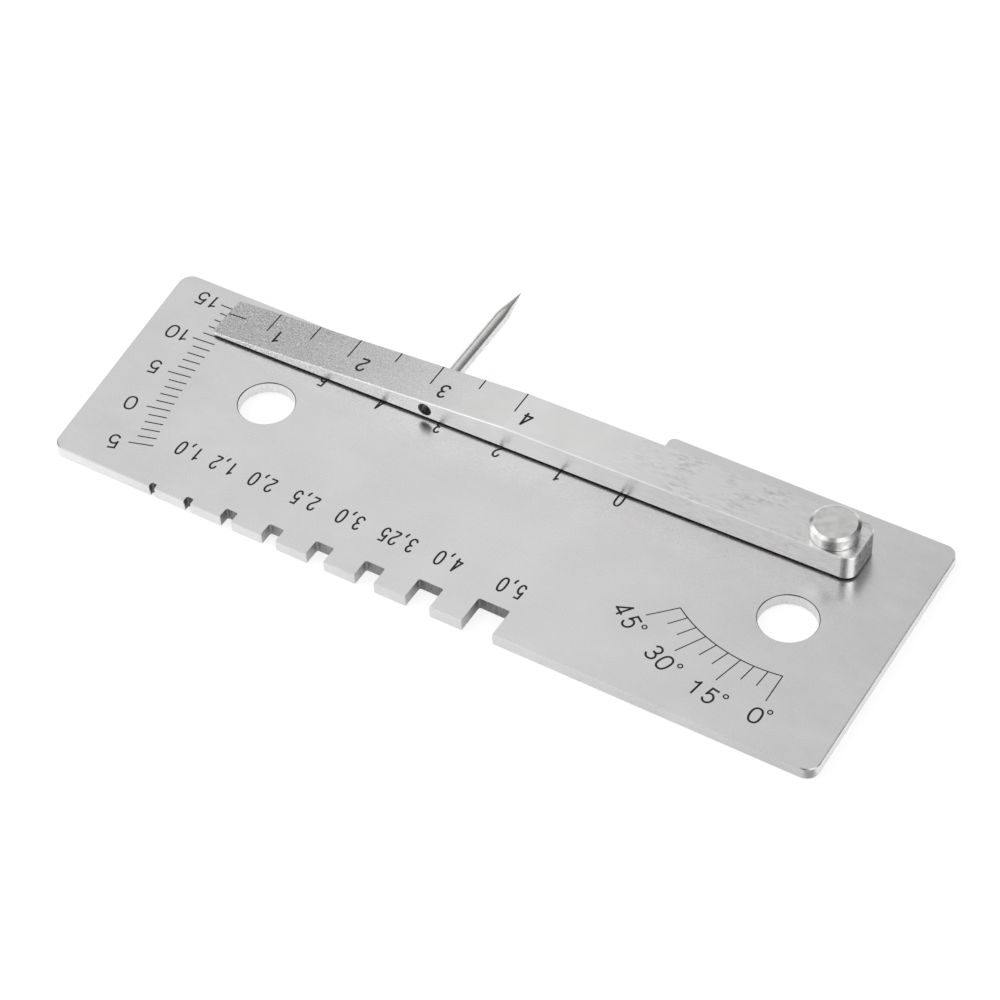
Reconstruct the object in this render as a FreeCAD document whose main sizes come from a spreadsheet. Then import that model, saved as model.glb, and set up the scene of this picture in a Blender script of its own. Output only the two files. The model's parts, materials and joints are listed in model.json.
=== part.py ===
import FreeCAD, Part
import math
import os

import Sketcher

# Weld gauge: a flat steel plate with measuring notches and holes, and a swinging wedge arm that
# carries a depth needle. All sizes are in millimetres. The frame's origin is the centre of the
# plate's underside, +X runs to the pivot end, +Y to the edge that the needle points over, +Z up.

# Driving sizes: alias, value, meaning
SIZES = (
    ("plate_length", 127.5, "overall length of the plate, along the far edge's line"),
    ("plate_width", 45.0, "front edge to far edge"),
    ("plate_thickness", 2.0, "plate thickness"),
    ("plate_edge_break", 0.15, "small chamfer round both faces of the plate"),
    ("corner_radius", 2.0, "outer corners of the plate"),
    ("end_setback", 4.5, "how far the slanted left end runs in from its far corner to its front corner"),
    ("ledge_length", 45.4, "full-width stretch of the plate, from the pivot end to the ledge"),
    ("ledge_depth", 5.0, "how far the rest of the far edge stands back"),
    ("ledge_corner", 1.0, "radius at the ledge's outer corner"),
    ("hole_diameter", 8.5, "two round holes"),
    ("hole_inset", 15.0, "pivot end to the first hole"),
    ("hole_spacing", 85.5, "first hole to second hole"),
    ("hole_rise", 22.2, "front edge to the holes"),
    ("hole_edge_break", 0.12, "chamfer at the holes' rims"),
    ("notch_start", 48.5, "pivot end to the widest notch"),
    ("notch_land", 5.05, "land between two notches"),
    ("notch_corner", 0.3, "radius in the notches' inner corners"),
    ("notch_trim", 0.18, "how much less each notch is deep than wide"),
    ("notch_first", 5.0, "widest notch"),
    ("notch_second", 4.0, "second notch"),
    ("notch_third", 3.25, "third notch"),
    ("notch_fourth", 3.0, "fourth notch"),
    ("notch_fifth", 2.5, "fifth notch"),
    ("notch_sixth", 2.0, "sixth notch"),
    ("notch_seventh", 1.2, "seventh notch"),
    ("notch_eighth", 1.0, "narrowest notch"),
    ("pivot_inset", 15.0, "pivot end to the pivot"),
    ("pivot_drop", 9.2, "far edge to the pivot"),
    ("rest_angle", 0.965, "how far the arm is turned at rest, in degrees"),
    ("arm_width", 7.9, "width of the arm"),
    ("arm_thickness", 4.0, "thickness of the arm's straight half"),
    ("arm_reach", 101.0, "pivot to the arm's tip"),
    ("arm_root", 4.75, "pivot to the arm's root end"),
    ("arm_edge_break", 0.15, "small chamfer round the arm's faces"),
    ("root_radius", 2.0, "corners at the root end"),
    ("tip_radius", 1.0, "corner at the tip, on the front side"),
    ("tip_far_radius", 0.4, "corner at the tip, on the far side"),
    ("tip_thickness", 0.46, "thickness at the tip"),
    ("taper_run", 14.28, "length along the arm for each millimetre of thickness"),
    ("needle_station", 63.5, "pivot to the needle, along the arm"),
    ("needle_diameter", 2.2, "needle and its cross hole"),
    ("needle_reach", 24.25, "arm's centre line to the needle's point"),
    ("needle_recess", 2.5, "how deep the needle's butt sits inside its hole"),
    ("needle_cone", 5.5, "length of the conical point"),
    ("needle_shoulder", 12.0, "radius where the shaft turns into the cone"),
    ("needle_point", 0.12, "diameter of the blunted point"),
    ("needle_butt_break", 0.2, "chamfer at the butt"),
    ("washer_diameter", 7.0, "shim washer under the arm"),
    ("washer_thickness", 0.3, "shim washer thickness"),
    ("washer_clearance", 0.1, "radial room between washer and rivet"),
    ("rivet_diameter", 4.0, "shank of the rivet where the arm turns"),
    ("running_clearance", 0.04, "radial room between rivet and arm"),
    ("axial_clearance", 0.05, "room between the rivet's head and the arm"),
    ("tenon_diameter", 3.4, "stepped end of the rivet, fast in the plate"),
    ("tail_diameter", 5.0, "set tail of the rivet, flush with the plate's underside"),
    ("tail_depth", 0.8, "depth of the tail's cone"),
    ("head_diameter", 7.15, "rivet head"),
    ("head_height", 2.05, "rivet head"),
    ("head_chamfer_width", 0.5, "chamfer on the head, measured across"),
    ("head_chamfer_height", 0.3, "chamfer on the head, measured down"),
)

NOTCHES = (
    "notch_first", "notch_second", "notch_third", "notch_fourth",
    "notch_fifth", "notch_sixth", "notch_seventh", "notch_eighth",
)

# Places that several pieces share
PIVOT_EAST = "sizes.plate_length / 2 - sizes.pivot_inset"
PIVOT_NORTH = "sizes.plate_width / 2 - sizes.pivot_drop"
ARM_HEIGHT = "sizes.plate_thickness + sizes.washer_thickness"

# Height of the needle's axis above the arm's underside: half of the arm's thickness there
NEEDLE_HEIGHT = (
    "min(sizes.arm_thickness;"
    " sizes.tip_thickness + (sizes.arm_reach - sizes.needle_station) / sizes.taper_run) / 2"
)

# How far a cutting profile runs past the face that it opens
OVERCUT = 1.0

# How near an edge must lie to a wanted line to be picked
TOLERANCE = 0.001

doc = FreeCAD.newDocument("weld_gauge")


def make_sheet():
    sheet = doc.addObject("Spreadsheet::Sheet", "sizes")
    for row, (alias, value, meaning) in enumerate(SIZES, start=1):
        sheet.set(f"A{row}", alias)
        sheet.set(f"B{row}", str(value))
        sheet.set(f"C{row}", meaning)
        sheet.setAlias(f"B{row}", alias)
    doc.recompute()


def size(alias):
    return float(doc.sizes.get(alias))


def make_body(label, east="0", north="0", height="0", turn=None):
    """A body with its label and a placement that follows the sheet."""
    body = doc.addObject("PartDesign::Body", label)
    body.Label = label
    body.setExpression("Placement.Base.x", east)
    body.setExpression("Placement.Base.y", north)
    body.setExpression("Placement.Base.z", height)
    if turn:
        body.Placement.Rotation = FreeCAD.Rotation(FreeCAD.Vector(0, 0, 1), size("rest_angle"))
        body.setExpression("Placement.Rotation.Angle", turn)
    return body


def make_sketch(body, name, plane):
    sketch = body.newObject("Sketcher::SketchObject", name)
    support = [feature for feature in body.Origin.OriginFeatures if feature.Role == plane]
    sketch.AttachmentSupport = (support[0], [""])
    sketch.MapMode = "FlatFace"
    return sketch


def pin_point(sketch, curve, end, across, up):
    """Ties one point of a sketch to two expressions, measured from the sketch's origin."""
    for kind, expression in (("DistanceX", across), ("DistanceY", up)):
        index = sketch.addConstraint(Sketcher.Constraint(kind, -1, 1, curve, end, 1.0))
        sketch.setExpression(f"Constraints[{index}]", expression)


def add_outline(sketch, corners):
    """A closed outline of straight sides whose corners follow pairs of expressions."""
    first = sketch.GeometryCount
    count = len(corners)
    turn = 2 * math.pi / count
    start = [FreeCAD.Vector(math.cos(k * turn), math.sin(k * turn), 0) for k in range(count)]
    for k in range(count):
        sketch.addGeometry(Part.LineSegment(start[k], start[(k + 1) % count]), False)
    for k in range(count):
        following = first + (k + 1) % count
        sketch.addConstraint(Sketcher.Constraint("Coincident", first + k, 2, following, 1))
    for k, (across, up) in enumerate(corners):
        pin_point(sketch, first + k, 1, across, up)


def add_circle(sketch, across, up, diameter):
    circle = Part.Circle(FreeCAD.Vector(0, 0, 0), FreeCAD.Vector(0, 0, 1), 1.0)
    curve = sketch.addGeometry(circle, False)
    pin_point(sketch, curve, 3, across, up)
    index = sketch.addConstraint(Sketcher.Constraint("Diameter", curve, 2.0))
    sketch.setExpression(f"Constraints[{index}]", diameter)


def add_pad(body, sketch, length, symmetric=False):
    pad = body.newObject("PartDesign::Pad", sketch.Name + "_pad")
    pad.Profile = sketch
    pad.setExpression("Length", length)
    if symmetric:
        pad.SideType = "Symmetric"
    doc.recompute()
    return pad


def add_cut(body, sketch, upward=True, symmetric=False):
    """A pocket right through the body, checked to have taken material away."""
    before = body.Shape.Volume
    cut = body.newObject("PartDesign::Pocket", sketch.Name + "_cut")
    cut.Profile = sketch
    cut.Type = "ThroughAll"
    cut.Reversed = upward
    if symmetric:
        cut.SideType = "Symmetric"
    doc.recompute()
    if body.Shape.Volume >= before - TOLERANCE:
        raise RuntimeError(cut.Name + " takes nothing away")
    return cut


def add_turned(body, sketch, axis_role):
    """A solid of revolution about one of the body's own axes."""
    axis = [feature for feature in body.Origin.OriginFeatures if feature.Role == axis_role][0]
    turned = body.newObject("PartDesign::Revolution", sketch.Name + "_turned")
    turned.Profile = sketch
    turned.ReferenceAxis = (axis, [""])
    turned.Angle = 360.0
    doc.recompute()
    return turned


def dress(body, kind, name, wanted, size):
    """A fillet or chamfer on the edges for which the test holds, its size bound to the sheet."""
    base = body.Tip
    names = [f"Edge{k}" for k, edge in enumerate(base.Shape.Edges, start=1) if wanted(edge)]
    feature = body.newObject("PartDesign::" + kind, name)
    feature.Base = (base, names)
    feature.setExpression("Radius" if kind == "Fillet" else "Size", "sizes." + size)
    doc.recompute()
    return feature


def stands_at(edge, east, north):
    """True for an upright edge at the given place."""
    box = edge.BoundBox
    apart = max(abs(box.XMin - east), abs(box.XMax - east), abs(box.YMin - north), abs(box.YMax - north))
    return apart < TOLERANCE and box.ZLength > TOLERANCE


def lies_at(edge, height):
    """True for an edge that lies flat at the given height."""
    box = edge.BoundBox
    return abs(box.ZMin - height) < TOLERANCE and abs(box.ZMax - height) < TOLERANCE


def make_base_plate():
    """One stamped plate: stepped far edge, slanted left end, notches and three holes."""
    body = make_body("base_plate")
    right = "sizes.plate_length / 2"
    front = "-sizes.plate_width / 2"
    far = "sizes.plate_width / 2"
    ledge = f"{right} - sizes.ledge_length"
    recess = f"{far} - sizes.ledge_depth"
    left_front = f"-{right} + sizes.end_setback"

    outline = make_sketch(body, "plate_outline", "XY_Plane")
    add_outline(outline, (
        (left_front, front),
        (right, front),
        (right, far),
        (ledge, far),
        (ledge, recess),
        (f"-{right}", recess),
    ))
    add_pad(body, outline, "sizes.plate_thickness")

    half_length = size("plate_length") / 2
    half_width = size("plate_width") / 2
    corners = (
        (size("end_setback") - half_length, -half_width),
        (half_length, -half_width),
        (half_length, half_width),
        (-half_length, half_width - size("ledge_depth")),
    )
    dress(body, "Fillet", "plate_corners",
          lambda edge: any(stands_at(edge, east, north) for east, north in corners), "corner_radius")
    ledge_end = half_length - size("ledge_length")
    dress(body, "Fillet", "ledge_corners",
          lambda edge: stands_at(edge, ledge_end, half_width), "ledge_corner")
    thickness = size("plate_thickness")
    dress(body, "Chamfer", "plate_edges",
          lambda edge: lies_at(edge, 0) or lies_at(edge, thickness), "plate_edge_break")

    notches = make_sketch(body, "plate_notches", "XY_Plane")
    near_side = f"{right} - sizes.notch_start"
    for notch in NOTCHES:
        far_side = f"{near_side} - sizes.{notch}"
        floor = f"{front} + sizes.{notch} - sizes.notch_trim"
        mouth = f"{front} - {OVERCUT}"
        add_outline(notches, (
            (near_side, mouth),
            (near_side, floor),
            (far_side, floor),
            (far_side, mouth),
        ))
        near_side = f"{far_side} - sizes.notch_land"
    add_cut(body, notches)
    dress(body, "Fillet", "notch_corners", at_notch_floor, "notch_corner")

    holes = make_sketch(body, "plate_holes", "XY_Plane")
    first_hole = f"{right} - sizes.hole_inset"
    rise = f"{front} + sizes.hole_rise"
    add_circle(holes, first_hole, rise, "sizes.hole_diameter")
    add_circle(holes, f"{first_hole} - sizes.hole_spacing", rise, "sizes.hole_diameter")
    add_circle(holes, PIVOT_EAST, PIVOT_NORTH, "sizes.tenon_diameter")
    add_cut(body, holes)
    dress(body, "Chamfer", "hole_edges",
          lambda edge: is_rim(edge, size("hole_diameter")), "hole_edge_break")

    seat = body.newObject("PartDesign::SubtractiveCone", "rivet_seat")
    seat.setExpression("Radius1", "sizes.tail_diameter / 2")
    seat.setExpression("Radius2", "sizes.tenon_diameter / 2")
    seat.setExpression("Height", "sizes.tail_depth")
    seat.setExpression("Placement.Base.x", PIVOT_EAST)
    seat.setExpression("Placement.Base.y", PIVOT_NORTH)
    doc.recompute()
    return body


def at_notch_floor(edge):
    """True for the two upright edges at the bottom of each notch."""
    front = -size("plate_width") / 2
    side = size("plate_length") / 2 - size("notch_start")
    for notch in NOTCHES:
        width = size(notch)
        floor = front + width - size("notch_trim")
        if stands_at(edge, side, floor) or stands_at(edge, side - width, floor):
            return True
        side -= width + size("notch_land")
    return False


def make_wedge_arm():
    """A bar that thins to a wedge, in its own frame: pivot axis at the origin, tip along -X."""
    body = make_body("wedge_arm", PIVOT_EAST, PIVOT_NORTH, ARM_HEIGHT, "sizes.rest_angle")
    knee = "-sizes.arm_reach + (sizes.arm_thickness - sizes.tip_thickness) * sizes.taper_run"
    side = make_sketch(body, "arm_side", "XZ_Plane")
    add_outline(side, (
        ("-sizes.arm_reach", "0"),
        ("sizes.arm_root", "0"),
        ("sizes.arm_root", "sizes.arm_thickness"),
        (knee, "sizes.arm_thickness"),
        ("-sizes.arm_reach", "sizes.tip_thickness"),
    ))
    add_pad(body, side, "sizes.arm_width", symmetric=True)

    half = size("arm_width") / 2
    root = size("arm_root")
    tip = -size("arm_reach")
    dress(body, "Fillet", "root_corners",
          lambda edge: stands_at(edge, root, half) or stands_at(edge, root, -half), "root_radius")
    dress(body, "Fillet", "tip_corner", lambda edge: stands_at(edge, tip, -half), "tip_radius")
    dress(body, "Fillet", "tip_far_corner", lambda edge: stands_at(edge, tip, half), "tip_far_radius")
    edges = dress(body, "Chamfer", "arm_edges", on_arm_outline, "arm_edge_break")
    edges.setExpression("Size", "min(sizes.arm_edge_break; sizes.tip_thickness / 3)")
    doc.recompute()

    bore = make_sketch(body, "arm_bore", "XY_Plane")
    add_circle(bore, "0", "0", "sizes.rivet_diameter + 2 * sizes.running_clearance")
    add_cut(body, bore)
    cross_hole = make_sketch(body, "arm_cross_hole", "XZ_Plane")
    add_circle(cross_hole, "-sizes.needle_station", NEEDLE_HEIGHT, "sizes.needle_diameter")
    add_cut(body, cross_hole, symmetric=True)
    return body


def on_arm_outline(edge):
    """True for the arm's long edges and those round its ends, not for upright or cross edges."""
    box = edge.BoundBox
    upright = box.XLength < TOLERANCE and box.YLength < TOLERANCE
    crosses = box.XLength < TOLERANCE and abs(box.YLength - size("arm_width")) < TOLERANCE
    return not upright and not crosses


def is_rim(edge, diameter):
    """True for a circular edge of the given diameter."""
    return isinstance(edge.Curve, Part.Circle) and abs(edge.Curve.Radius * 2 - diameter) < TOLERANCE


def make_depth_needle():
    """A round pin, in its own frame: origin on the arm's centre line, point along +Y."""
    east = f"{PIVOT_EAST} - sizes.needle_station * cos(sizes.rest_angle)"
    north = f"{PIVOT_NORTH} - sizes.needle_station * sin(sizes.rest_angle)"
    height = f"{ARM_HEIGHT} + {NEEDLE_HEIGHT}"
    body = make_body("depth_needle", east, north, height, "sizes.rest_angle")
    butt = "sizes.needle_recess - sizes.arm_width / 2"
    profile = make_sketch(body, "needle_profile", "XY_Plane")
    add_outline(profile, (
        ("0", butt),
        ("sizes.needle_diameter / 2 - sizes.needle_butt_break", butt),
        ("sizes.needle_diameter / 2", f"{butt} + sizes.needle_butt_break"),
        ("sizes.needle_diameter / 2", "sizes.needle_reach - sizes.needle_cone"),
        ("sizes.needle_point / 2", "sizes.needle_reach"),
        ("0", "sizes.needle_reach"),
    ))
    add_turned(body, profile, "Y_Axis")
    shoulder = size("needle_reach") - size("needle_cone")
    dress(body, "Fillet", "needle_shoulder",
          lambda edge: abs(edge.BoundBox.YMin - shoulder) < TOLERANCE
          and abs(edge.BoundBox.YMax - shoulder) < TOLERANCE, "needle_shoulder")
    return body


def make_pivot_rivet():
    """A stepped pin with a round head, set into the plate's countersink from below."""
    body = make_body("pivot_rivet", PIVOT_EAST, PIVOT_NORTH)
    under_head = f"{ARM_HEIGHT} + sizes.arm_thickness + sizes.axial_clearance"
    head_top = f"{under_head} + sizes.head_height"
    profile = make_sketch(body, "rivet_profile", "XZ_Plane")
    add_outline(profile, (
        ("0", "0"),
        ("sizes.tail_diameter / 2", "0"),
        ("sizes.tenon_diameter / 2", "sizes.tail_depth"),
        ("sizes.tenon_diameter / 2", "sizes.plate_thickness"),
        ("sizes.rivet_diameter / 2", "sizes.plate_thickness"),
        ("sizes.rivet_diameter / 2", under_head),
        ("sizes.head_diameter / 2", under_head),
        ("sizes.head_diameter / 2", f"{head_top} - sizes.head_chamfer_height"),
        ("sizes.head_diameter / 2 - sizes.head_chamfer_width", head_top),
        ("0", head_top),
    ))
    add_turned(body, profile, "Z_Axis")
    return body


def make_pivot_washer():
    """A thin shim ring round the rivet, between plate and arm."""
    body = make_body("pivot_washer", PIVOT_EAST, PIVOT_NORTH, "sizes.plate_thickness")
    ring = make_sketch(body, "washer_ring", "XY_Plane")
    add_circle(ring, "0", "0", "sizes.washer_diameter")
    add_circle(ring, "0", "0", "sizes.rivet_diameter + 2 * sizes.washer_clearance")
    add_pad(body, ring, "sizes.washer_thickness")
    return body


def check_and_export(bodies):
    """Stops on any failed feature or bad solid, then writes one file for each piece."""
    failed = [item.Name for item in doc.Objects if "Invalid" in item.State or "Error" in item.State]
    if failed:
        raise RuntimeError("failed: " + ", ".join(failed))
    for body in bodies:
        if body.Shape.isNull() or not body.Shape.isValid() or len(body.Shape.Solids) != 1:
            raise RuntimeError("bad solid: " + body.Label)
    os.makedirs("parts", exist_ok=True)
    for body in bodies:
        body.Shape.exportStep(f"parts/{body.Label}.step")
        box = body.Shape.BoundBox
        print(f"{body.Label}: {body.Shape.Volume:.1f} mm3,",
              f"x {box.XMin:.2f} to {box.XMax:.2f}, y {box.YMin:.2f} to {box.YMax:.2f},",
              f"z {box.ZMin:.2f} to {box.ZMax:.2f}")


make_sheet()
parts = [
    make_base_plate(),
    make_wedge_arm(),
    make_depth_needle(),
    make_pivot_rivet(),
    make_pivot_washer(),
]
doc.recompute()
check_and_export(parts)
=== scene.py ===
import json
import math

import bpy
from mathutils import Matrix, Vector
from mathutils.geometry import delaunay_2d_cdt


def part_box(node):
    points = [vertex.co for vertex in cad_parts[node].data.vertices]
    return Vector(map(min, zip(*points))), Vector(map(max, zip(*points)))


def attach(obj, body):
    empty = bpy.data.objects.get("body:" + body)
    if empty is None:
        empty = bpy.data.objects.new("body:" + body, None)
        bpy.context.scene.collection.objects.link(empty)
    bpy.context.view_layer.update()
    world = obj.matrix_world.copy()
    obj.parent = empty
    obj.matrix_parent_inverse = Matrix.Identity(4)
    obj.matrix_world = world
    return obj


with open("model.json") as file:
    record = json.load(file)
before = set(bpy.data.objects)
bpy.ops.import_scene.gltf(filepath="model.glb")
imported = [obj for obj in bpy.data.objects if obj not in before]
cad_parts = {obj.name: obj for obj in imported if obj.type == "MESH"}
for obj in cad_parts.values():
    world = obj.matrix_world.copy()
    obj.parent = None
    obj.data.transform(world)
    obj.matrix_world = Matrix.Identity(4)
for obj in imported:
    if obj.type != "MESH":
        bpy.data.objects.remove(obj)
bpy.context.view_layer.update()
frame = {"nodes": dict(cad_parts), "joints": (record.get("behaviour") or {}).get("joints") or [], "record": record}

# Lengths are in millimetres until they reach Blender, which works in metres
MM = 0.001
HALF_TURN = math.pi

# Camera, in the model's own frame
CAMERA_PLACE = (156.353, -236.010, 297.383)
CAMERA_TURN = (43.5342, 1.9297, 30.9883)
CLIP_START = 10.0
LENS = 103.866
SENSOR = 36.0

# The plate's marked face, front edge and right end, and the point that its scales are drawn from
PLATE_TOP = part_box("base_plate")[1][2] / MM
PLATE_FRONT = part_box("base_plate")[0][1] / MM
PLATE_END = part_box("base_plate")[1][0] / MM
SCALE_ORIGIN = (48.75, 13.5)

# The pivot, how far the arm is turned about it at rest, and the arm's underside and root end
PIVOT = [value / MM for value in frame["joints"][0]["pos_m"]]
PIVOT_PLACE = Vector(PIVOT[:2])
REST_ANGLE = math.radians(0.965)
ARM_UNDERSIDE = PIVOT[2]
ARM_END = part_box("wedge_arm")[1][0] / MM

# The arm's thickness grows from its tip along the wedge and then stays
ARM_REACH = 101.0
TIP_THICKNESS = 0.46
TAPER_RUN = 14.28
ARM_THICKNESS = 4.0
ARM_HALF_WIDTH = 3.95

# The two round holes, and a box round the notches: its ends and how far in it reaches
BORES = [mount for mount in frame["record"]["mounts"] if mount["kind"] == "bore"]
HOLES = [(bore["pos_m"][0] / MM, bore["pos_m"][1] / MM, 0.0) for bore in BORES]
HOLE_RADIUS = BORES[0]["dims"]["r_mm"]
NOTCHES_LEFT = -45.0
NOTCHES_RIGHT = 15.4
NOTCHES_DEPTH = 5.3

# The marks are thin dark solids, let into the steel
MARK_PROUD = 0.008
MARK_SUNK = 0.010
DIGIT_STROKE = 0.31
ARM_DIGIT_STROKE = 0.35
TICK_STROKE = 0.2
ARM_TICK_STROKE = 0.22
FINE_STROKE = 0.17
RING_RADIUS = 0.33
RING_POINTS = 24

# Digits: height and the three widths in use, and the steps from one digit's centre to the next
DIGIT_HEIGHT = 2.85
NARROW = 1.33
MIDDLE = 1.68
WIDE = 1.9
NARROW_STEP = 1.6
COMMA_STEP = 1.4
WIDE_STEP = 2.05

# A stroke has square ends where it turns by more than this
SHARP = math.radians(50)

# For joining flat shapes: only what lies inside them is kept, and points this close are one
FILL_INSIDE = 1
SAME_POINT = 1e-5


def arc(cx, cy, rx, ry, start, end, steps=14):
    """Points on an elliptical arc, angles in degrees."""
    turns = [math.radians(start + (end - start) * k / steps) for k in range(steps + 1)]
    return [(cx + rx * math.cos(turn), cy + ry * math.sin(turn)) for turn in turns]


def rounded_box(power=2.4, steps=32):
    """A closed superellipse that fills the unit box, for the digit 0."""
    points = []
    for k in range(steps):
        turn = 2 * math.pi * k / steps
        across, up = math.cos(turn), math.sin(turn)
        points.append((0.5 + 0.5 * math.copysign(abs(across) ** (2 / power), across),
                       0.5 + 0.5 * math.copysign(abs(up) ** (2 / power), up)))
    return points


def bezier(start, first, second, end, steps=10):
    """Points on a cubic curve."""
    corners = (start, first, second, end)
    points = []
    for k in range(steps + 1):
        t = k / steps
        weights = ((1 - t) ** 3, 3 * t * (1 - t) ** 2, 3 * t * t * (1 - t), t ** 3)
        points.append(tuple(sum(w * c[axis] for w, c in zip(weights, corners)) for axis in (0, 1)))
    return points


# Each digit is a list of strokes in a unit box: its centre lines, and whether they close
GLYPHS = {
    "0": [(rounded_box(), True)],
    "1": [([(0.6, 0.0), (0.6, 1.0)], False),
          ([(0.08, 0.775), (0.3, 0.79), (0.46, 0.84), (0.6, 0.93)], False)],
    "2": [(arc(0.5, 0.73, 0.44, 0.27, 180, -30)
           + bezier((0.85, 0.56), (0.72, 0.44), (0.1, 0.3), (0.05, 0.0)), False),
          ([(0.05, 0.0), (1.0, 0.0)], False)],
    "3": [(arc(0.47, 0.76, 0.4, 0.24, 165, -90), False),
          (arc(0.47, 0.26, 0.47, 0.26, 90, -165), False),
          ([(0.3, 0.52), (0.5, 0.52)], False)],
    "4": [([(0.72, 0.0), (0.72, 1.0), (0.02, 0.25), (1.0, 0.25)], False)],
    "5": [([(0.92, 1.0), (0.22, 1.0), (0.12, 0.47)], False),
          (arc(0.5, 0.33, 0.46, 0.33, 155, -160), False)],
    ",": [([(0.56, 0.14), (0.56, 0.0), (0.36, -0.19)], False)],
}


def split_at_corners(points):
    """Cuts a line at its sharp corners, so that each run can be given its own square end."""
    runs = [[points[0]]]
    for k in range(1, len(points) - 1):
        runs[-1].append(points[k])
        before = points[k] - points[k - 1]
        after = points[k + 1] - points[k]
        if before.angle(after) > SHARP:
            runs.append([points[k]])
    runs[-1].append(points[-1])
    return runs


def stroke_faces(points, width, closed):
    """The quads that a pen of this width covers along the points."""
    half = width / 2
    runs = [points] if closed else split_at_corners(points)
    for k, run in enumerate(runs):
        if k > 0:
            run[0] = run[0] - (run[1] - run[0]).normalized() * half
        if k < len(runs) - 1:
            run[-1] = run[-1] + (run[-1] - run[-2]).normalized() * half
    faces = []
    for run in runs:
        count = len(run)
        sides = []
        for k, point in enumerate(run):
            back = run[k - 1] if closed or k > 0 else point
            ahead = run[(k + 1) % count] if closed or k < count - 1 else point
            steps = [step for step in (point - back, ahead - point) if step.length > 0]
            normals = [Vector((-step.y, step.x)).normalized() for step in steps]
            normal = sum(normals, Vector((0.0, 0.0))).normalized()
            reach = half / normal.dot(normals[0])
            sides.append((point + normal * reach, point - normal * reach))
        for k in range(count if closed else count - 1):
            left, right = sides[k]
            next_left, next_right = sides[(k + 1) % count]
            faces.append([right, next_right, next_left, left])
    return faces


class Marks:
    """Collects flat shapes and turns them into one mesh of thin closed solids."""

    def __init__(self, height, digit_stroke=DIGIT_STROKE):
        self.height = height
        self.digit_stroke = digit_stroke
        self.corners = []
        self.faces = []

    def add(self, polygons):
        """Joins overlapping polygons into one shape and gives it a top, a bottom and a rim."""
        points = [point for polygon in polygons for point in polygon]
        loops = []
        for polygon in polygons:
            start = sum(len(loop) for loop in loops)
            loops.append(list(range(start, start + len(polygon))))
        flat, _, triangles, _, _, sources = delaunay_2d_cdt(points, [], loops, FILL_INSIDE, SAME_POINT, True)
        kept = [list(triangle) for triangle, source in zip(triangles, sources) if source]
        base = len(self.corners)
        under = base + len(flat)
        for lift in (MARK_PROUD, -MARK_SUNK):
            for point in flat:
                self.corners.append((point.x * MM, point.y * MM, (self.height(point) + lift) * MM))
        for triangle in kept:
            self.faces.append([base + k for k in triangle])
            self.faces.append([under + k for k in reversed(triangle)])
        edges = [(triangle[k], triangle[(k + 1) % 3]) for triangle in kept for k in range(3)]
        known = set(edges)
        for first, second in edges:
            if (second, first) not in known:
                self.faces.append([under + first, under + second, base + second, base + first])

    def line(self, points, width, closed=False):
        self.add(stroke_faces([Vector(point) for point in points], width, closed))

    def glyph(self, character, centre, width, turn):
        """One digit or comma, its box centred on a point and turned about it."""
        spin = Matrix.Rotation(turn, 2)
        scale = Vector((width - self.digit_stroke, DIGIT_HEIGHT - self.digit_stroke))
        faces = []
        for points, closed in GLYPHS[character]:
            placed = [Vector(centre) + spin @ Vector(((x - 0.5) * scale.x, (y - 0.5) * scale.y))
                      for x, y in points]
            faces += stroke_faces(placed, self.digit_stroke, closed)
        self.add(faces)

    def text(self, characters, start, width, step, turn):
        """A row of digits from the first one's centre on."""
        place = Vector(start)
        ahead = Vector((math.cos(turn), math.sin(turn)))
        for k, character in enumerate(characters):
            if k > 0:
                beside_comma = "," in characters[k - 1:k + 1]
                place = place + ahead * (COMMA_STEP if beside_comma else step)
            self.glyph(character, place, width, turn)

    def degree_ring(self, centre):
        """The small ring after an angle's digits."""
        spacing = 360 / RING_POINTS
        points = arc(*centre, RING_RADIUS, RING_RADIUS, 0, 360 - spacing, RING_POINTS - 1)
        self.line(points, TICK_STROKE, closed=True)

    def piece(self, name, body, material):
        """Makes the collected shapes into one piece that rides on a body."""
        mesh = bpy.data.meshes.new(name)
        mesh.from_pydata(self.corners, [], self.faces)
        mesh.update()
        mesh.materials.append(material)
        item = bpy.data.objects.new(name, mesh)
        bpy.context.scene.collection.objects.link(item)
        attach(item, body)


def from_origin(across, up):
    """A place on the plate, given from the scales' origin."""
    return Vector((SCALE_ORIGIN[0] + across, SCALE_ORIGIN[1] + up))


def on_arm(along, across):
    """A place on the arm, given along it from the pivot, in the frame at rest."""
    return PIVOT_PLACE + Matrix.Rotation(REST_ANGLE, 2) @ Vector((along, across))


def plate_height(point):
    """The plate's marked face is level."""
    return PLATE_TOP


def arm_height(point):
    """The arm's top face: it climbs along the wedge and then stays level."""
    along = (Matrix.Rotation(-REST_ANGLE, 2) @ (point - PIVOT_PLACE)).x
    return ARM_UNDERSIDE + min(ARM_THICKNESS, TIP_THICKNESS + (ARM_REACH + along) / TAPER_RUN)


def depth_direction(depth):
    """Where the arm's tip points when the needle's point stands this far past the edge."""
    station, reach, edge = 63.5, 24.1, 9.0
    lead = math.radians(0.35)
    swing = math.asin((edge + depth) / math.hypot(station, reach))
    return math.atan2(reach, station) - swing - lead


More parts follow.
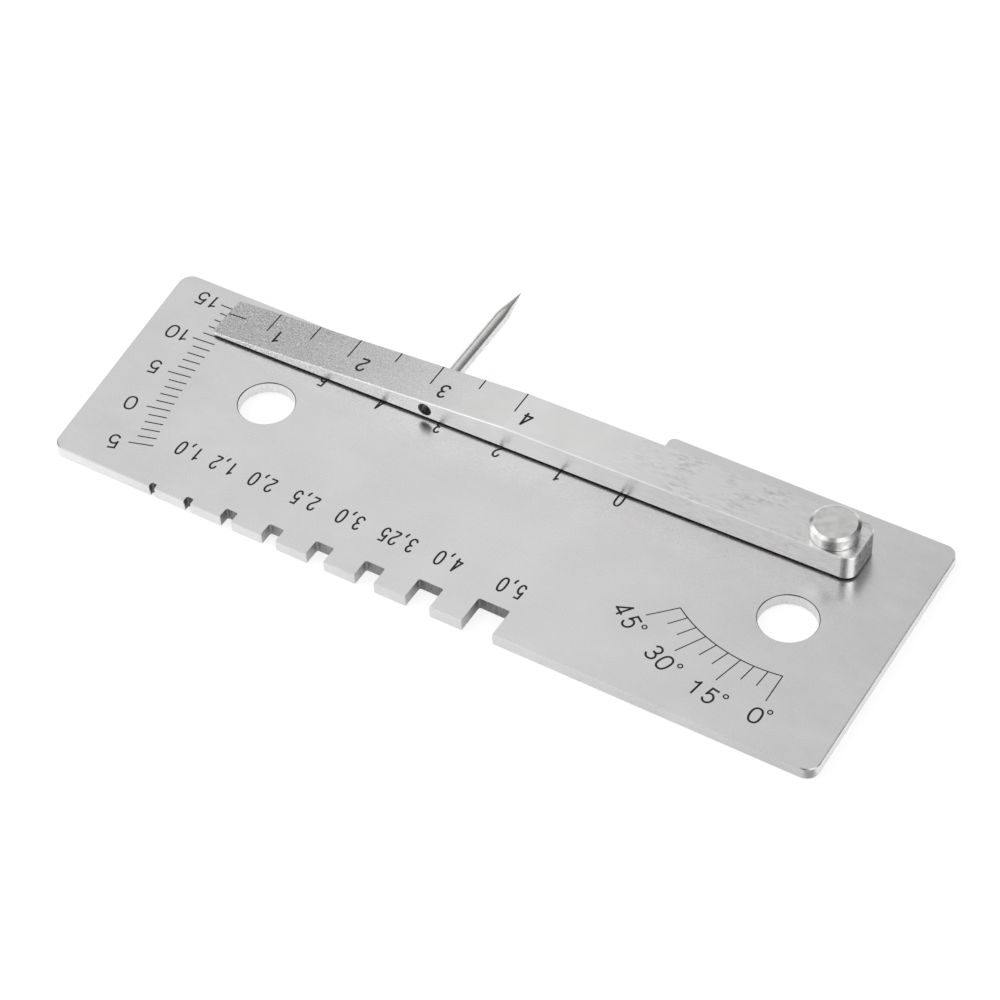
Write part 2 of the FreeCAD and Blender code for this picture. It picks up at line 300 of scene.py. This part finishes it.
def make_depth_scale(material):
    """Millimetres of depth, from 15 down to 5 below zero, on an arc in front of the arm's tip."""
    marks = Marks(plate_height)
    radius_at_zero, radius_growth = 99.38, 0.023
    long_tick, short_tick = 3.8, 2.9
    for depth in range(-5, 16):
        turn = depth_direction(depth)
        ray = Vector((-math.cos(turn), -math.sin(turn)))
        inner = radius_at_zero + radius_growth * depth
        outer = inner + (long_tick if depth % 5 == 0 else short_tick)
        marks.line([from_origin(*(ray * inner)), from_origin(*(ray * outer))], TICK_STROKE)
    for characters, across, up, depth in (
        ("15", -104.8, 0.35, 15),
        ("10", -104.55, -7.75, 10),
        ("5", -104.45, -15.45, 5),
        ("0", -103.05, -23.45, 0),
        ("5", -100.5, -31.1, -5),
    ):
        turn = HALF_TURN + depth_direction(depth)
        marks.text(characters, from_origin(across, up), WIDE, WIDE_STEP, turn)
    marks.piece("depth_scale", "plate", material)


def make_ruler(material):
    """Fifty millimetres, counted from the ledge towards the tip. The arm hides its ticks at rest."""
    marks = Marks(plate_height)
    zero, edge = -30.4, 4.0
    ten_tick, five_tick, one_tick = 6.4, 5.2, 4.0
    first_digit, digit_line = -30.75, -5.65
    for count in range(51):
        length = ten_tick if count % 10 == 0 else five_tick if count % 5 == 0 else one_tick
        across = zero - count
        marks.line([from_origin(across, edge), from_origin(across, edge - length)], FINE_STROKE)
    for ten in range(6):
        place = from_origin(first_digit - 10 * ten, digit_line)
        marks.text(str(ten), place, NARROW, NARROW_STEP, HALF_TURN)
    marks.piece("ruler_scale", "plate", material)


def make_notch_labels(material):
    """The notches' widths, in a row above them."""
    marks = Marks(plate_height)
    label_line = -27.45
    for characters, across in (
        ("5,0", -34.1), ("4,0", -44.3), ("3,25", -51.8), ("3,0", -60.6),
        ("2,5", -68.2), ("2,0", -75.55), ("1,2", -82.25), ("1,0", -88.3),
    ):
        marks.text(characters, from_origin(across, label_line), NARROW, NARROW_STEP, HALF_TURN)
    marks.piece("notch_labels", "plate", material)


def make_angle_scale(material):
    """Five degree steps for the arm's edge, which runs beside the pivot."""
    marks = Marks(plate_height)
    beside, inner, long_end, short_end = 4.0, 23.6, 28.45, 26.5

    def on_tick(degrees, radius):
        turn = math.radians(degrees)
        run = math.sqrt(radius ** 2 - beside ** 2)
        return from_origin(beside * math.cos(turn) - run * math.sin(turn),
                           -beside * math.sin(turn) - run * math.cos(turn))

    for degrees in range(0, 50, 5):
        outer = long_end if degrees % 15 == 0 else short_end
        marks.line([on_tick(degrees, inner), on_tick(degrees, outer)], FINE_STROKE)
    marks.line([on_tick(degrees, inner) for degrees in range(46)], FINE_STROKE)
    for characters, across, up, step, tilt, ring in (
        ("0", 3.95, -31.0, 0.0, 0, (5.4, -29.6)),
        ("15", -5.23, -30.59, 2.43, -10, (-0.9, -30.1)),
        ("30", -12.85, -28.0, 2.25, -24, (-8.7, -28.4)),
        ("45", -20.25, -23.3, 2.5, -36.5, (-16.2, -24.7)),
    ):
        marks.text(characters, from_origin(across, up), WIDE, step, math.radians(tilt))
        marks.degree_ring(from_origin(*ring))
    marks.piece("angle_scale", "plate", material)


def make_arm_scale(material):
    """The wedge's own thickness, 1 to 4 mm by halves, and the index at the tip."""
    marks = Marks(arm_height, ARM_DIGIT_STROKE)
    far_end, digit_line, index_line = ARM_HALF_WIDTH - 0.15, -0.82, 0.7
    for along, near_end in (
        (-93.3, -0.23), (-86.2, 0.77), (-79.0, -0.23), (-71.9, 1.77),
        (-64.7, -0.23), (-57.6, 1.77), (-50.5, -0.23),
    ):
        marks.line([on_arm(along, far_end), on_arm(along, near_end)], ARM_TICK_STROKE)
    marks.line([on_arm(-100.8, index_line), on_arm(-97.7, index_line)], ARM_TICK_STROKE)
    for character, along in (("1", -91.05), ("2", -76.0), ("3", -62.05), ("4", -48.2)):
        marks.glyph(character, on_arm(along, digit_line), MIDDLE, HALF_TURN + REST_ANGLE)
    marks.piece("arm_scale", "arm", material)


# Noise stays mostly between these two values
NOISE_LOW = 0.3
NOISE_HIGH = 0.7


class Shader:
    """Nodes built with short calls, for a material or the world. Inputs take numbers or sockets."""

    def __init__(self, owner):
        owner.use_nodes = True
        self.tree = owner.node_tree
        self.tree.nodes.clear()

    def feed(self, socket, value):
        if isinstance(value, bpy.types.NodeSocket):
            self.tree.links.new(value, socket)
        else:
            socket.default_value = value

    def add(self, kind, inputs=(), **settings):
        node = self.tree.nodes.new("ShaderNode" + kind)
        for key, value in settings.items():
            setattr(node, key, value)
        for key, value in dict(inputs).items():
            self.feed(node.inputs[key], value)
        return node

    def math(self, operation, first, second=0.0, third=0.0):
        inputs = {0: first, 1: second, 2: third}
        return self.add("Math", inputs, operation=operation).outputs[0]

    def product(self, *factors):
        result = factors[0]
        for factor in factors[1:]:
            result = self.math("MULTIPLY", result, factor)
        return result

    def span(self, value, low, high, start=0.0, end=1.0):
        """Carries low..high to start..end, held at both ends. As a mask it fades in from low to high."""
        inputs = {"Value": value, "From Min": low, "From Max": high, "To Min": start, "To Max": end}
        return self.add("MapRange", inputs).outputs["Result"]

    def place(self):
        """The surface point in millimetres, in the model's frame at rest."""
        point = self.add("TexCoord").outputs["Object"]
        return self.add("VectorMath", {0: point, "Scale": 1 / MM}, operation="SCALE").outputs[0]

    def facing(self):
        """The way the surface faces, as its three parts."""
        return self.split(self.add("NewGeometry").outputs["True Normal"])

    def split(self, vector):
        return self.add("SeparateXYZ", {0: vector}).outputs

    def stretch(self, point, factors):
        return self.add("VectorMath", {0: point, 1: factors}, operation="MULTIPLY").outputs[0]

    def noise(self, point, detail, scale=1.0):
        inputs = {"Vector": point, "Scale": scale, "Detail": detail}
        return self.add("TexNoise", inputs).outputs[0]

    def spread(self, noise, low, high):
        """Noise carried to low..high."""
        return self.span(noise, NOISE_LOW, NOISE_HIGH, low, high)

    def wave(self, noise, amount):
        """Noise spread round zero, up to this amount either way."""
        return self.spread(noise, -amount, amount)

    def layers(self, level, *added):
        """A level with layers of noise on it, each given as a noise and its amount."""
        for noise, amount in added:
            level = self.math("ADD", level, self.wave(noise, amount))
        return level

    def blend(self, factor, first, second):
        """Between two numbers."""
        return self.add("Mix", {0: factor, 2: first, 3: second}).outputs[0]

    def mix(self, factor, first, second):
        """Between two colours."""
        node = self.add("Mix", data_type="RGBA")
        for key, value in (("Factor_Float", factor), ("A_Color", first), ("B_Color", second)):
            self.feed([s for s in node.inputs if s.identifier == key][0], value)
        return [s for s in node.outputs if s.identifier == "Result_Color"][0]

    def tint(self, colour, level):
        """A colour made lighter or darker by a level."""
        return self.add("VectorMath", {0: colour, "Scale": level}, operation="SCALE").outputs[0]

    def grey(self, level):
        """A level as a colour."""
        return self.tint((1.0, 1.0, 1.0), level)

    def bump(self, height, relief):
        """A fine surface relief, in millimetres."""
        inputs = {"Height": height, "Distance": relief * MM, "Strength": 1.0}
        return self.add("Bump", inputs).outputs[0]

    def steel(self, colour, roughness, height, relief):
        """Bare metal with a surface relief."""
        surface = {"Base Color": colour, "Metallic": 1.0, "Roughness": roughness,
                   "Normal": self.bump(height, relief)}
        self.output("OutputMaterial", self.add("BsdfPrincipled", surface))

    def output(self, kind, shader_node):
        self.tree.links.new(shader_node.outputs[0], self.add(kind).inputs["Surface"])


def new_material(name):
    material = bpy.data.materials.new(name)
    return material, Shader(material)


# The plate drifts between a warm and a plain grey, and the chamfers round its holes are painted dark as shade
PLATE_WARM = (0.768, 0.756, 0.762, 1.0)
PLATE_PLAIN = (0.76, 0.76, 0.758, 1.0)
PAINTED_HOLE_RIM_SHADE = (0.14, 0.14, 0.14, 1.0)
PLATE_RELIEF = 0.004


def plate_steel():
    """Satin ground plate: cloudy patches, faint scratches, dull notch walls, painted light and shade on the
    chamfers, notches and hole walls, and painted shade on the rims at the holes.
    """
    material, shader = new_material("plate_steel")
    point = shader.place()
    x, y, _ = shader.split(point)
    patches = shader.noise(point, 5.0, scale=0.11)
    clouds = shader.noise(point, 4.0, scale=0.45)
    grain = shader.noise(point, 2.0, scale=5.0)
    streaks = shader.noise(shader.stretch(point, (0.06, 1.3, 1.0)), 4.0)
    wall_grain = shader.noise(shader.stretch(point, (5.0, 5.0, 0.8)), 3.0)

    facing_x, _, facing_z = shader.facing()
    slope = shader.math("ABSOLUTE", facing_z)
    upright = shader.span(slope, 0.35, 0.2)
    sloping = shader.span(slope, 0.95, 0.9)
    chamfered = shader.product(sloping, shader.math("SUBTRACT", 1.0, upright))
    notched = shader.product(
        upright,
        shader.span(x, NOTCHES_LEFT, NOTCHES_LEFT + 0.2),
        shader.span(x, NOTCHES_RIGHT, NOTCHES_RIGHT - 0.1),
        shader.span(y, PLATE_FRONT + 0.16, PLATE_FRONT + 0.22),
        shader.span(y, PLATE_FRONT + NOTCHES_DEPTH, PLATE_FRONT + NOTCHES_DEPTH - 0.2),
    )
    flat = shader.stretch(point, (1.0, 1.0, 0.0))
    from_holes = [shader.add("VectorMath", {0: flat, 1: hole}, operation="DISTANCE").outputs["Value"]
                  for hole in HOLES]
    at_hole = shader.span(shader.math("MINIMUM", *from_holes), HOLE_RADIUS + 0.3, HOLE_RADIUS + 0.2)

    # Painted light and shade on the chamfers: darker to the left and darkest at the left end, with a painted
    # highlight at the right end
    painted_chamfer_light = shader.span(x, -20.0, 10.0, 0.74, 0.9)
    painted_end_highlight = shader.span(x, PLATE_END - 0.35, PLATE_END - 0.25, 0.0, 0.25)
    painted_left_shade = shader.span(x, -58.6, -57.6, 0.35, 1.0)
    painted_chamfer_light = shader.product(shader.math("ADD", painted_chamfer_light, painted_end_highlight), painted_left_shade)
    level = shader.layers(1.0, (patches, 0.032), (clouds, 0.02), (streaks, 0.01), (grain, 0.015))
    level = shader.product(level, shader.blend(chamfered, 1.0, painted_chamfer_light))
    tone = shader.mix(shader.span(patches, 0.4, 0.6), PLATE_WARM, PLATE_PLAIN)
    colour = shader.tint(tone, level)

    # The notch walls are a dull grey with painted shade: darker further in, and the narrow ones darker than the
    # wide ones
    painted_depth_shade = shader.span(y, PLATE_FRONT + 4.0, PLATE_FRONT, 0.26, 0.6)
    painted_narrow_shade = shader.span(x, -36.0, -20.0, 0.35, 1.0)
    wall_level = shader.layers(shader.product(painted_depth_shade, painted_narrow_shade), (wall_grain, 0.08))
    colour = shader.mix(notched, colour, shader.grey(wall_level))

    # Painted light and shade on the holes' walls: lighter where they face left, and the left hole darker
    lit_side = shader.span(facing_x, -0.9, 0.4, 0.98, 0.85)
    painted_left_hole_shade = shader.span(x, -30.0, 40.0, 0.85, 1.0)
    hole_level = shader.layers(shader.product(lit_side, painted_left_hole_shade), (wall_grain, 0.06))
    colour = shader.mix(shader.product(at_hole, upright), colour, shader.grey(hole_level))
    # Painted shade: the chamfers round the holes are coloured near black
    colour = shader.mix(shader.product(at_hole, chamfered), colour, PAINTED_HOLE_RIM_SHADE)

    notch_roughness = 0.3
    roughness = shader.layers(shader.spread(clouds, 0.25, 0.3), (streaks, 0.02))
    roughness = shader.math("MULTIPLY_ADD", notched, notch_roughness, roughness)
    height = shader.math("MULTIPLY_ADD", streaks, 0.5, grain)
    shader.steel(colour, roughness, height, PLATE_RELIEF)
    return material


# The arm's own grey, and the painted shade on its dark underside
ARM_TONE = (0.797, 0.795, 0.793)
PAINTED_UNDERSIDE_SHADE = (0.3, 0.3, 0.3, 1.0)
ARM_RELIEF = 0.006


def arm_steel():
    """Ground bar: smooth at the root, grained along the wedge, with dull sides painted lighter, a top painted
    darker towards the tip, and an end face and underside painted dark as shade.
    """
    material, shader = new_material("arm_steel")
    point = shader.place()
    x = shader.split(point)[0]
    clouds = shader.noise(point, 3.0, scale=0.2)
    grain = shader.noise(point, 2.0, scale=5.2)
    mottle = shader.noise(point, 4.0, scale=1.9)
    scratches = shader.noise(shader.stretch(point, (0.35, 2.2, 2.2)), 4.0)
    smudges = shader.noise(shader.stretch(point, (0.8, 2.3, 2.3)), 8.0)

    facing_z = shader.facing()[2]
    sides = shader.span(shader.math("ABSOLUTE", facing_z), 0.3, 0.2)
    below = shader.span(facing_z, -0.3, -0.5)
    towards_tip = shader.span(x, -6.0, -45.0)
    at_root = shader.span(x, 14.0, 26.0)
    end_face = shader.product(sides, shader.span(x, ARM_END - 0.38, ARM_END - 0.13))

    # Smudges near the root, in places, and weaker on the sides
    smudged = shader.product(at_root, shader.blend(sides, 1.0, 0.6), shader.span(clouds, 0.38, 0.62))
    smudge_level = shader.product(smudged, shader.span(smudges, 0.42, 0.7, 0.0, -0.34))
    tip_grain = shader.product(towards_tip, shader.wave(grain, 0.5))
    level = shader.layers(1.0, (clouds, 0.03), (scratches, 0.03))
    level = shader.math("ADD", shader.math("ADD", level, tip_grain), smudge_level)

    # Painted light and shade: the top is painted darker towards the tip and the sides lighter than the top, and
    # the end face is dull and painted darker as shade
    painted_top_shade = shader.span(x, -8.0, -38.0, 1.0, 0.77)
    painted_side_light = 1.15
    painted_end_shade = shader.layers(0.55, (mottle, 0.2))
    level = shader.product(level, shader.blend(sides, painted_top_shade, painted_side_light))
    level = shader.product(level, shader.blend(end_face, 1.0, painted_end_shade))
    # Painted shade: the underside and its lower chamfers are coloured dark grey
    colour = shader.mix(below, shader.tint(ARM_TONE, level), PAINTED_UNDERSIDE_SHADE)

    side_roughness = shader.span(x, 35.0, 50.0, 0.14, -0.04)
    dull_roughness = 0.3
    roughness = shader.layers(shader.blend(towards_tip, 0.24, 0.36), (scratches, 0.03))
    roughness = shader.math("MULTIPLY_ADD", sides, side_roughness, roughness)
    roughness = shader.math("MULTIPLY_ADD", shader.math("ADD", below, end_face), dull_roughness, roughness)
    grain_height = shader.product(shader.blend(towards_tip, 0.3, 1.8), grain)
    height = shader.math("MULTIPLY_ADD", scratches, 0.6, grain_height)
    shader.steel(colour, roughness, height, ARM_RELIEF)
    return material


# Turned steel is a little warm, and its upright walls are cloudier than the rest
TURNED_TINT = (1.0, 0.995, 0.99)
TURNED_LEVEL = 0.99
TURNED_RELIEF = 0.004
WALL_MOTTLE = 1.5
RING_AMOUNT = 0.04


def turned_steel(name, rings_about, tone, roughness, mottle):
    """Lathe-turned steel: fine rings about the piece's own axis, and cloudy patches."""
    material, shader = new_material(name)
    point = shader.place()
    clouds = shader.noise(point, 4.0, scale=0.8)
    rings = shader.noise(shader.stretch(point, rings_about), 3.0)
    walls = shader.span(shader.math("ABSOLUTE", shader.facing()[2]), 0.5, 0.3)
    wall_clouds = shader.product(walls, shader.wave(clouds, WALL_MOTTLE * mottle))
    level = shader.layers(TURNED_LEVEL, (clouds, mottle), (rings, RING_AMOUNT))
    level = shader.math("ADD", level, wall_clouds)
    colour = shader.tint([tone * part for part in TURNED_TINT], level)
    shader.steel(colour, shader.layers(roughness, (rings, RING_AMOUNT)), rings, TURNED_RELIEF)
    return material


def mark_black():
    """Laser-blackened steel: near black and dull, a little uneven."""
    material, shader = new_material("mark_black")
    black, relief = (0.02, 0.02, 0.02), 0.003
    speck = shader.noise(shader.place(), 2.0, scale=6.0)
    surface = {"Base Color": shader.tint(black, shader.spread(speck, 0.6, 1.6)),
               "Roughness": shader.spread(speck, 0.5, 0.7), "Specular IOR Level": 0.2,
               "Normal": shader.bump(speck, relief)}
    shader.output("OutputMaterial", shader.add("BsdfPrincipled", surface))
    return material


def dress(node, material):
    for slot in frame["nodes"][node].material_slots:
        slot.material = material


# The floor's own grey, and what it sends to the camera and into reflections on top of the light it takes
FLOOR_GREY = (0.42, 0.42, 0.42)
FLOOR_GLOW = 0.72
GLOW_LEFT = 0.79
GLOW_RIGHT = 0.42
GLOW_AT_END = 0.95
GLOW_AT_CORNER = 0.1
WHITE = (1.0, 1.0, 1.0, 1.0)


def floor_white():
    """White to the camera. What it sends into reflections changes along the plate."""
    material, shader = new_material("floor_white")
    point = shader.place()
    x, y, _ = shader.split(point)
    cast = shader.noise(point, 2.0, scale=0.01)
    matt = shader.add("BsdfDiffuse", {"Color": shader.tint(FLOOR_GREY, shader.spread(cast, 0.99, 1.01))})
    at_end = shader.span(x, 62.0, 66.0)
    at_corner = shader.product(shader.span(x, 62.0, 63.0), shader.span(y, -20.8, -22.0))
    mirrored = shader.span(x, -60.0, 60.0, GLOW_LEFT, GLOW_RIGHT)
    mirrored = shader.blend(at_end, mirrored, GLOW_AT_END)
    mirrored = shader.blend(at_corner, mirrored, GLOW_AT_CORNER)
    rays = shader.add("LightPath").outputs
    strength = shader.math("MULTIPLY_ADD", rays["Is Camera Ray"], FLOOR_GLOW,
                           shader.product(rays["Is Glossy Ray"], mirrored))
    glow = shader.add("Emission", {"Color": WHITE, "Strength": strength})
    shader.output("OutputMaterial", shader.add("AddShader", {0: matt.outputs[0], 1: glow.outputs[0]}))
    return material


def make_floor():
    """A wide floor just under the plate. It takes the object's shadow."""
    half, below = 6000.0 * MM, -0.02 * MM
    corners = [(-half, -half, below), (half, -half, below), (half, half, below), (-half, half, below)]
    mesh = bpy.data.meshes.new("floor")
    mesh.from_pydata(corners, [], [(0, 1, 2, 3)])
    mesh.materials.append(floor_white())
    floor = bpy.data.objects.new("floor", mesh)
    bpy.context.scene.collection.objects.link(floor)


# The soft sky seen by the steel, by compass bearing in degrees: 0 is the front, 90 the right and -90
# the left. It is bright at both sides, and dim in front and at the back on the right.
SKY = (
    (-180, 0.6), (-160, 0.62), (-152, 0.8), (-145, 1.0), (-136, 0.74), (-115, 0.9), (-95, 1.2),
    (-55, 1.3), (-40, 1.25), (-30, 1.05), (-20, 0.75), (-8, 0.25), (12, 0.15), (32, 0.25), (44, 1.1),
    (60, 1.4), (95, 1.3), (112, 0.6), (126, 0.3), (148, 0.22), (160, 0.36), (170, 0.58), (180, 0.6),
)
# Heights in the sky run from 0 at the horizon to 1 overhead. White at the horizon gives way to the sky,
# and the sky to an even level overhead.
HORIZON_FADE = (0.08, 0.25)
OVERHEAD_FADE = (0.93, 0.99)
OVERHEAD_LEVEL = 0.9
# A bright strip at the front, a little to the left, which lights the chamfers along the front edges
STRIP_LEVEL = 0.25
STRIP_BEARING = math.radians(-28)
STRIP_SIDES = (math.radians(35), math.radians(20))
STRIP_FOOT = (0.42, 0.5)
STRIP_HEAD = (0.66, 0.6)
# How much darker it is low down behind the object, from the two sides on
LOW_SHADE = 0.65
SHADE_SIDES = (math.radians(80), math.radians(94))
SHADE_HEAD = (0.58, 0.48)


def make_world():
    """White surroundings for the camera, and a soft sky for the rest that changes round the object."""
    world = bpy.data.worlds.new("studio")
    bpy.context.scene.world = world
    shader = Shader(world)
    x, y, height = shader.split(shader.add("TexCoord").outputs["Generated"])
    bearing = shader.math("ARCTAN2", x, shader.math("MULTIPLY", y, -1.0))
    ramp = shader.add("ValToRGB", {"Fac": shader.span(bearing, -math.pi, math.pi)})
    stops = ramp.color_ramp.elements
    highest = max(level for _, level in SKY)
    for degrees, level in SKY:
        place = (degrees + 180) / 360
        at_end = [stop for stop in (stops[0], stops[-1]) if stop.position == place]
        stop = at_end[0] if at_end else stops.new(place)
        stop.color = (level / highest,) * 3 + (1.0,)
    level = shader.math("MULTIPLY", ramp.outputs["Color"], highest)

    aside = shader.math("ABSOLUTE", shader.math("SUBTRACT", bearing, STRIP_BEARING))
    strip = shader.product(shader.span(height, *STRIP_FOOT), shader.span(height, *STRIP_HEAD),
                           shader.span(aside, *STRIP_SIDES))
    level = shader.math("MULTIPLY_ADD", strip, STRIP_LEVEL, level)
    behind = shader.span(shader.math("ABSOLUTE", bearing), *SHADE_SIDES)
    shade = shader.product(shader.span(height, *SHADE_HEAD), behind, LOW_SHADE)
    level = shader.math("SUBTRACT", level, shader.product(shade, level))
    level = shader.blend(shader.span(height, *HORIZON_FADE), 1.0, level)
    level = shader.blend(shader.span(height, *OVERHEAD_FADE), level, OVERHEAD_LEVEL)
    level = shader.blend(shader.add("LightPath").outputs["Is Camera Ray"], level, 1.0)
    shader.output("OutputWorld", shader.add("Background", {"Color": WHITE, "Strength": level}))


def make_light(name, direction, distance, side, radiance):
    """A square soft box that looks at the object, as bright as a white of this strength."""
    data = bpy.data.lights.new(name, "AREA")
    data.shape = "SQUARE"
    data.size = side * MM
    data.energy = radiance * math.pi * data.size ** 2
    light = bpy.data.objects.new(name, data)
    towards = Vector(direction).normalized()
    light.location = towards * distance * MM
    light.rotation_euler = towards.to_track_quat("Z", "Y").to_euler()
    bpy.context.scene.collection.objects.link(light)


def make_camera():
    data = bpy.data.cameras.new("camera")
    data.lens = LENS
    data.sensor_width = SENSOR
    data.clip_start = CLIP_START * MM
    camera = bpy.data.objects.new("camera", data)
    camera.location = [value * MM for value in CAMERA_PLACE]
    camera.rotation_euler = [math.radians(value) for value in CAMERA_TURN]
    bpy.context.scene.collection.objects.link(camera)
    bpy.context.scene.camera = camera


bpy.context.scene.view_settings.view_transform = "Standard"
make_camera()
make_floor()
make_world()
make_light("key_light", direction=(-0.8, 0.1, 0.6), distance=900.0, side=500.0, radiance=0.4)

dress("base_plate", plate_steel())
dress("wedge_arm", arm_steel())
dress("depth_needle", turned_steel("needle_steel", rings_about=(0.3, 6.0, 0.3), tone=0.84,
                                   roughness=0.26, mottle=0.06))
dress("pivot_rivet", turned_steel("rivet_steel", rings_about=(0.4, 0.4, 6.0), tone=0.74,
                                  roughness=0.14, mottle=0.12))
dress("pivot_washer", turned_steel("washer_steel", rings_about=(0.4, 0.4, 6.0), tone=0.3,
                                   roughness=0.4, mottle=0.04))

ink = mark_black()
make_depth_scale(ink)
make_ruler(ink)
make_notch_labels(ink)
make_angle_scale(ink)
make_arm_scale(ink)
